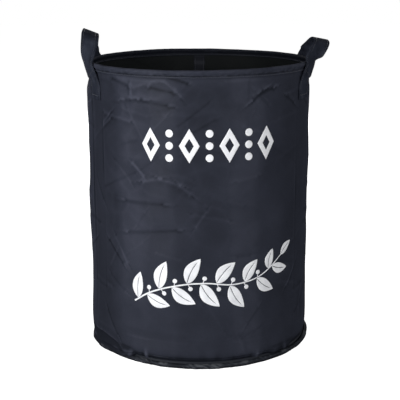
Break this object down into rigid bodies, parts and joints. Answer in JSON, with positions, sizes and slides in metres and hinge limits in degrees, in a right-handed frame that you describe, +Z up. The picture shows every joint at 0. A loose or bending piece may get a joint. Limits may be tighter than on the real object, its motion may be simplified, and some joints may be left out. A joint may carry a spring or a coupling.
{
  "type": "collapsible laundry hamper",
  "caption": "Round collapsible laundry hamper: coated canvas tube between a sprung wire rim hoop and a piped base hoop, with two sewn strap handles that swing; the wall folds flat.",
  "frame": {"origin": "centre of the base, on the floor it stands on", "axes": "+Z up the hamper's axis, -Y out of its front, +X towards the right handle as seen from the front"},
  "size_m": [0.4414, 0.4072, 0.5717],
  "materials": {
    "canvas": "closely woven charcoal canvas with a thin waterproof coating inside, faint sheen",
    "seam_tape": "soft black binding tape, matte",
    "handle_canvas": "the same charcoal canvas folded double into a strap, stitched along both edges",
    "spring_steel": "drawn spring wire, bare",
    "crimped_steel": "zinc plated sleeve, dull"
  },
  "bodies": {
    "base": {"base_panel": "canvas", "base_piping": "canvas", "base_hoop": "spring_steel", "base_hoop_sleeve": "crimped_steel", "base_seam_tape": "seam_tape", "wall_panel": "canvas", "side_seam_tape": "seam_tape"},
    "rim": {"rim_binding": "canvas", "rim_hoop": "spring_steel", "rim_hoop_sleeve": "crimped_steel", "left_handle_front_foot": "handle_canvas", "left_handle_rear_foot": "handle_canvas", "right_handle_front_foot": "handle_canvas", "right_handle_rear_foot": "handle_canvas"},
    "left_handle": {"left_handle_loop": "handle_canvas"},
    "right_handle": {"right_handle_loop": "handle_canvas"}
  },
  "joints": [
    {"name": "collapse", "type": "slide", "parent": "base", "child": "rim", "axis": [0, 0, 1], "range_m": [-0.435, 0], "deforming": ["wall_panel", "side_seam_tape"]},
    {"name": "left_handle_swing", "type": "hinge", "parent": "rim", "child": "left_handle", "pos_m": [-0.196, 0, 0.523], "axis": [0, -1, 0], "range_deg": [-80, 135]},
    {"name": "right_handle_swing", "type": "hinge", "parent": "rim", "child": "right_handle", "pos_m": [0.196, 0, 0.523], "axis": [0, 1, 0], "range_deg": [-112, 92]}
  ]
}
